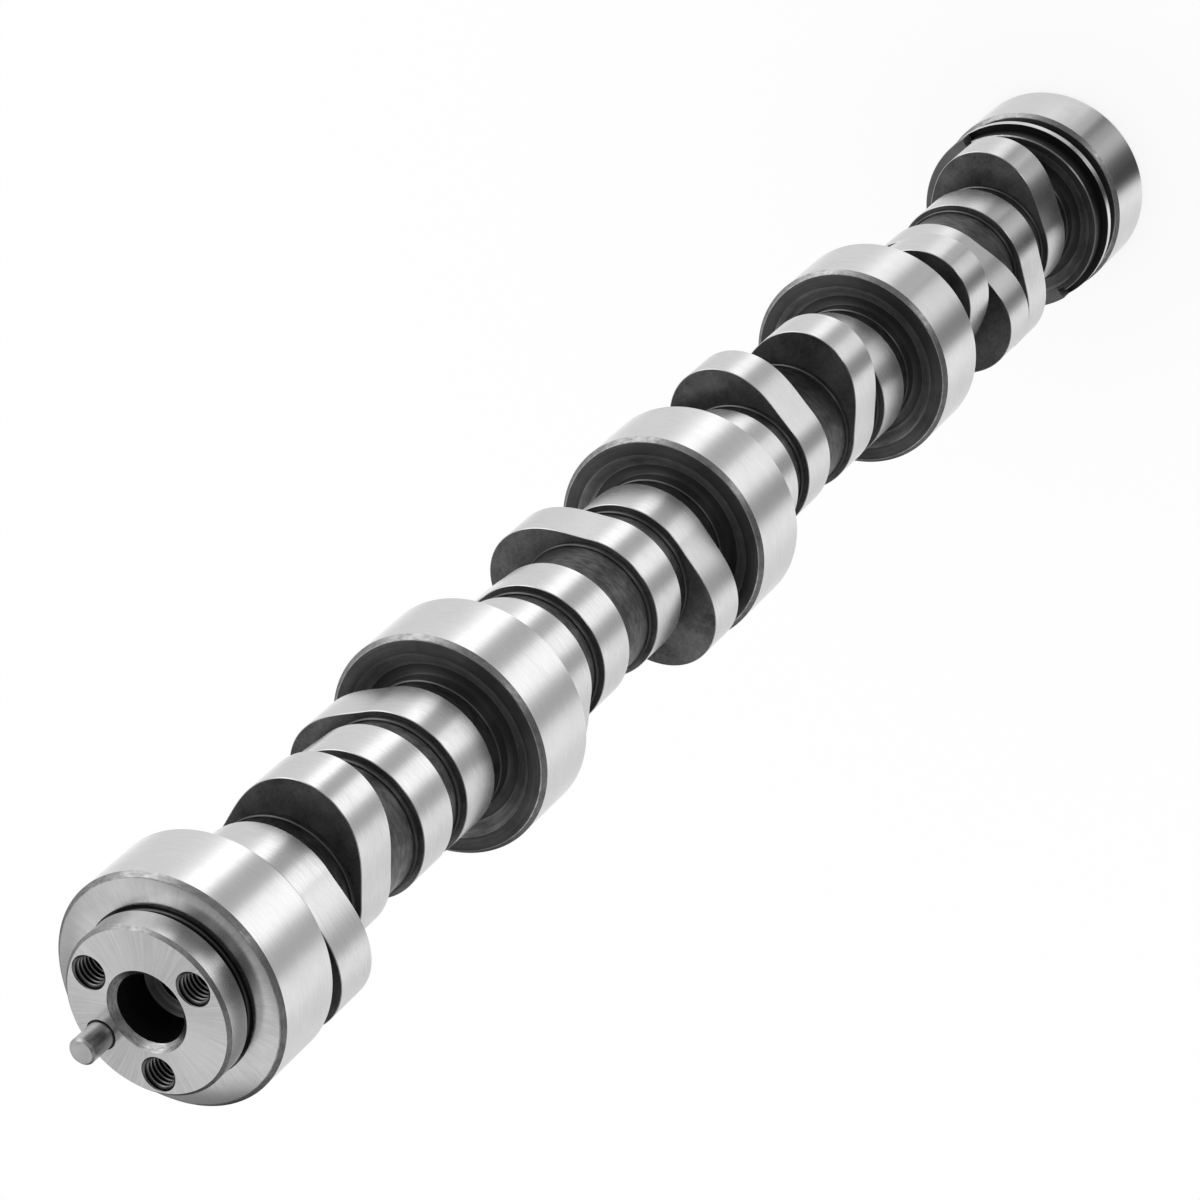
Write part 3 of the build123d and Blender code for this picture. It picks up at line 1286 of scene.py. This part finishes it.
@dataclass
class DowelPin:
    """The pin that locates the timing sprocket."""

    radius: float = 3.15
    length: float = 16.0
    reach: float = 7.4
    chamfer: float = 0.5
    edge: float = 0.08
    neck_radius: float = 2.95
    neck_inset: float = 0.15
    neck_width: float = 0.85
    shaded_rim: float = 0.24
    columns: int = 96

    def profile(self, nose_height: float) -> Profile:
        """The pin's rings, from the middle of its hidden end to the middle of its free end.

        Args:
            nose_height: the height of the nose face.

        Returns:
            The rings.
        """
        made = Profile()
        top = nose_height + self.reach
        low = top - self.length
        neck = nose_height - self.neck_inset
        chamfer, edge, radius = self.chamfer, self.edge, self.radius
        points = [
            (0.0, low),
            (radius - chamfer, low),
            (radius, low + chamfer),
            (radius, neck - self.neck_width),
            (self.neck_radius, neck - self.neck_width),
            (self.neck_radius, neck),
            (radius, neck),
            (radius, top - chamfer - edge),
            (radius - edge * CORNER_SHARE, top - chamfer),
            (radius - chamfer, top - edge * CORNER_SHARE),
            (radius - chamfer - edge, top),
            (radius - chamfer - self.shaded_rim, top),
            (0.0, top),
        ]
        made.run(points, Surface.RUNNING)
        return made

    def build(self, shaft: Camshaft, material: bpy.types.Material) -> bpy.types.Object:
        """Makes the pin.

        Args:
            shaft: the shaft that holds it.
            material: its finish.

        Returns:
            The finished piece.
        """
        tree = GeometryTree("pin_shape")
        turned = RingSurface(tree).build()
        place = tree.xyz(tree.size("Fixing radius"))
        tree.finish(tree.moved(turned, place), {Surface.RUNNING: material})
        profile = self.profile(shaft.nose_height)
        values = {
            "Rings": len(profile.rings),
            "Columns": self.columns,
            "Half-moon angle": math.pi,
            "Notch columns": 1,
            "Base radius": self.radius * MM,
            "Lift": 0.0,
            "Half event": 1.0,
            "Roller radius": self.radius * MM,
            "Fixing radius": shaft.fixing_radius * MM,
        }
        return apply_tree("pin", profile.mesh("pin_rings"), tree, values)


@dataclass
class DarkCard:
    """A dark card below the rear end, which only reflections show.

    It is a part of a flat ring about the shaft's axis. By its angle round the axis it covers more
    or less of the light behind it, in one way near the axis, and past a step in another way that
    fades out towards its rim.
    """

    height: float = -40.0
    inner: float = 30.0
    step: float = 99.0
    outer: float = 350.0
    segments: int = 68
    near: Curve = (
        (128.0, 0.0),
        (135.0, 0.14),
        (143.0, 0.70),
        (151.0, 0.90),
        (159.0, 0.86),
        (167.0, 0.80),
        (175.0, 0.68),
        (183.0, 0.62),
        (191.0, 0.68),
        (199.0, 0.69),
        (207.0, 0.18),
        (215.0, 0.02),
        (223.0, 0.26),
        (231.0, 0.45),
        (239.0, 0.34),
        (247.0, 0.18),
        (255.0, 0.06),
        (278.0, 0.0),
    )
    far: Curve = (
        (128.0, 0.0),
        (134.0, 0.10),
        (138.0, 0.50),
        (146.0, 0.62),
        (158.0, 0.56),
        (165.0, 0.45),
        (200.0, 0.45),
        (206.0, 0.20),
        (212.0, 0.0),
        (222.0, 0.02),
        (230.0, 0.20),
        (237.0, 0.33),
        (246.0, 0.21),
        (254.0, 0.08),
        (278.0, 0.0),
    )

    def mesh(self) -> bpy.types.Mesh:
        """Makes the card's mesh.

        Returns:
            The mesh, in metres.
        """
        start, end = math.radians(self.near[0][0]), math.radians(self.near[-1][0])
        points, faces = [], []
        for k in range(self.segments + 1):
            angle = start + (end - start) * k / self.segments
            for radius in (self.inner, self.outer):
                place = Vector((radius * math.cos(angle), radius * math.sin(angle), self.height))
                points.append(place * MM)
            if k:
                faces.append((2 * k - 2, 2 * k - 1, 2 * k + 1, 2 * k))
        made = bpy.data.meshes.new("dark_card")
        made.from_pydata(points, [], faces)
        return made

    def material(self) -> bpy.types.Material:
        """Makes the card's material, black and partly clear.

        Returns:
            The material.
        """
        made = bpy.data.materials.new("dark_card")
        made.use_nodes = True
        made.node_tree.nodes.clear()
        tree = Tree(made.node_tree)
        place = tree.node("ShaderNodeTexCoord").outputs["Object"]
        parts = tree.node("ShaderNodeSeparateXYZ", {0: place}).outputs
        x, y = parts["X"], parts["Y"]
        turn, radius = tree.direction(x, y), tree.math("SQRT", tree.add(tree.times(x, x), tree.times(y, y)))
        step, outer = self.step * MM, self.outer * MM
        fade = {"Value": radius, "From Min": step, "From Max": outer, "To Min": 1.0, "To Max": 0.0}
        faded = tree.node("ShaderNodeMapRange", fade).outputs["Result"]
        near, far = tree.levels(turn, self.near), tree.levels(turn, self.far)
        cover = tree.blend(tree.math("LESS_THAN", radius, step), tree.times(far, faded), near)
        black = tree.node("ShaderNodeEmission", {"Strength": 0.0}).outputs[0]
        clear = tree.node("ShaderNodeBsdfTransparent").outputs[0]
        mixed = tree.node("ShaderNodeMixShader", {0: cover, 1: clear, 2: black}).outputs[0]
        tree.put(tree.node("ShaderNodeOutputMaterial").inputs["Surface"], mixed)
        return made

    def build(self) -> bpy.types.Object:
        """Hangs the card.

        Returns:
            The card.
        """
        mesh = self.mesh()
        mesh.materials.append(self.material())
        made = bpy.data.objects.new("dark_card", mesh)
        made.visible_camera = made.visible_diffuse = made.visible_shadow = False
        made.visible_transmission = made.visible_volume_scatter = False
        bpy.context.scene.collection.objects.link(made)
        return made


@dataclass
class Studio:
    """The floor, the light round the object and the camera.

    The light that reflections show has soft upright strips in three bands, low, middle and top,
    and is plain about the pole. Each band takes over from the one below it between two heights
    of the direction's unit vector. A drop lets the middle band begin lower on one side.
    """

    floor_size: float = 12.0
    floor_glow: float = 0.8
    camera_place: Place = (-0.6343936, -0.1287749, 1.0988197)
    camera_turn: Place = (-28.31464316, 27.36738114, 141.98939434)
    camera_range: tuple[float, float] = (0.01, 100.0)
    lens: float = 130.72217
    sensor: float = 36.0
    top_strips: Curve = (
        (0.0, 0.94),
        (35.0, 0.98),
        (60.0, 0.90),
        (90.0, 1.0),
        (120.0, 0.45),
        (145.0, 0.1),
        (165.0, 0.08),
        (185.0, 0.12),
        (200.0, 0.22),
        (215.0, 0.5),
        (238.0, 0.3),
        (255.0, 1.0),
        (270.0, 1.4),
        (300.0, 1.8),
        (320.0, 1.4),
        (340.0, 0.95),
        (360.0, 0.94),
    )
    middle_strips: Curve = (
        (0.0, 0.55),
        (12.0, 0.40),
        (24.0, 0.32),
        (40.0, 0.14),
        (55.0, 0.25),
        (71.0, 0.28),
        (90.0, 0.30),
        (109.0, 0.28),
        (131.0, 0.22),
        (155.0, 0.15),
        (172.0, 0.35),
        (181.0, 1.4),
        (190.0, 0.45),
        (208.0, 0.20),
        (234.0, 0.33),
        (258.0, 0.9),
        (279.0, 1.6),
        (298.0, 0.95),
        (314.0, 0.6),
        (329.0, 0.65),
        (345.0, 0.7),
        (360.0, 0.55),
    )
    low_strips: Curve = (
        (0.0, 1.30),
        (20.0, 1.25),
        (35.0, 1.0),
        (60.0, 0.90),
        (90.0, 0.95),
        (112.0, 1.15),
        (130.0, 1.0),
        (142.0, 0.56),
        (152.0, 0.60),
        (165.0, 1.05),
        (180.0, 1.55),
        (192.0, 1.50),
        (203.0, 0.97),
        (212.0, 0.62),
        (222.0, 0.60),
        (233.0, 1.20),
        (242.0, 1.85),
        (250.0, 1.80),
        (262.0, 1.15),
        (280.0, 0.95),
        (300.0, 0.92),
        (322.0, 0.88),
        (342.0, 1.10),
        (360.0, 1.30),
    )
    drop: Curve = (
        (0.0, 0.20),
        (22.0, 0.27),
        (42.0, 0.27),
        (75.0, 0.0),
        (310.0, 0.0),
        (340.0, 0.20),
        (360.0, 0.20),
    )
    middle_start: tuple[float, float] = (-0.50, -0.14)
    top_start: tuple[float, float] = (0.56, 0.68)
    pole_start: tuple[float, float] = (0.78, 0.92)
    pole_level: float = 0.35

    def floor(self) -> bpy.types.Object:
        """Lays a plain white floor, which reflections look through to the light below it.

        Returns:
            The floor.
        """
        half = self.floor_size / 2
        mesh = bpy.data.meshes.new("floor")
        corners = [(-half, -half, 0.0), (half, -half, 0.0), (half, half, 0.0), (-half, half, 0.0)]
        mesh.from_pydata(corners, [], [(0, 1, 2, 3)])
        material = bpy.data.materials.new("white_floor")
        material.use_nodes = True
        shader = material.node_tree.nodes["Principled BSDF"]
        shader.inputs["Base Color"].default_value = (1.0, 1.0, 1.0, 1.0)
        shader.inputs["Roughness"].default_value = 1.0
        shader.inputs["Specular IOR Level"].default_value = 0.0
        tree = Tree(material.node_tree)
        seen = tree.node("ShaderNodeLightPath").outputs["Is Camera Ray"]
        white = tree.node("ShaderNodeEmission").outputs[0]
        shares = {0: tree.times(seen, self.floor_glow), 1: shader.outputs[0], 2: white}
        mixed = tree.node("ShaderNodeMixShader", shares).outputs[0]
        tree.put(material.node_tree.nodes["Material Output"].inputs["Surface"], mixed)
        mesh.materials.append(material)
        made = bpy.data.objects.new("floor", mesh)
        made.visible_glossy = False
        bpy.context.scene.collection.objects.link(made)
        return made

    def world(self) -> None:
        """Lights the object evenly, with the strips for reflections alone."""
        world = bpy.data.worlds.new("studio")
        bpy.context.scene.world = world
        world.use_nodes = True
        world.node_tree.nodes.clear()
        tree = Tree(world.node_tree)
        way = tree.node("ShaderNodeTexCoord").outputs["Generated"]
        parts = tree.node("ShaderNodeSeparateXYZ", {0: way}).outputs
        turn, height = tree.direction(parts["X"], parts["Y"]), parts["Z"]
        low, middle, top = (
            tree.levels(turn, strips) for strips in (self.low_strips, self.middle_strips, self.top_strips)
        )
        lowered = tree.add(height, tree.levels(turn, self.drop))
        level = tree.blend(self.raised(tree, lowered, self.middle_start), low, middle)
        level = tree.blend(self.raised(tree, height, self.top_start), level, top)
        level = tree.blend(self.raised(tree, height, self.pole_start), level, self.pole_level)
        glossy = tree.node("ShaderNodeLightPath").outputs["Is Glossy Ray"]
        light = tree.node("ShaderNodeBackground", {"Strength": tree.blend(glossy, 1.0, level)})
        light.inputs["Color"].default_value = (1.0, 1.0, 1.0, 1.0)
        output = tree.node("ShaderNodeOutputWorld")
        tree.put(output.inputs["Surface"], light.outputs[0])

    @staticmethod
    def raised(tree: Tree, height: Any, start: tuple[float, float]) -> bpy.types.NodeSocket:
        """Goes softly from 0 to 1 between two heights."""
        inputs = {"Value": height, "From Min": start[0], "From Max": start[1]}
        return tree.node("ShaderNodeMapRange", inputs, interpolation_type="SMOOTHSTEP").outputs["Result"]

    def camera(self) -> None:
        """Sets up the camera at the photograph's angle."""
        data = bpy.data.cameras.new("camera")
        data.lens, data.sensor_width = self.lens, self.sensor
        data.clip_start, data.clip_end = self.camera_range
        made = bpy.data.objects.new("camera", data)
        made.location = Vector(self.camera_place)
        made.rotation_euler = Euler([math.radians(a) for a in self.camera_turn], "XYZ")
        bpy.context.scene.collection.objects.link(made)
        bpy.context.scene.camera = made

    def build(self) -> None:
        """Makes the floor, the light and the camera, and sets plain colours."""
        bpy.context.scene.view_settings.view_transform = "Standard"
        self.floor()
        DarkCard().build()
        self.world()
        self.camera()


def main() -> None:
    """Builds the pieces and the studio round the frame."""
    logging.basicConfig(level=logging.INFO, format="%(name)s: %(message)s")
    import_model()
    finishes = {int(surface): finish.build() for surface, finish in FINISHES.items()}
    shaft_sizes = Camshaft()
    shaft = shaft_sizes.build(finishes)
    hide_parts("camshaft")
    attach(shaft, "root")
    pin = DowelPin().build(shaft_sizes, PIN_FINISH.build())
    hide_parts("dowel_pin")
    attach(pin, "root")
    Studio().build()


if __name__ == "__main__":
    main()
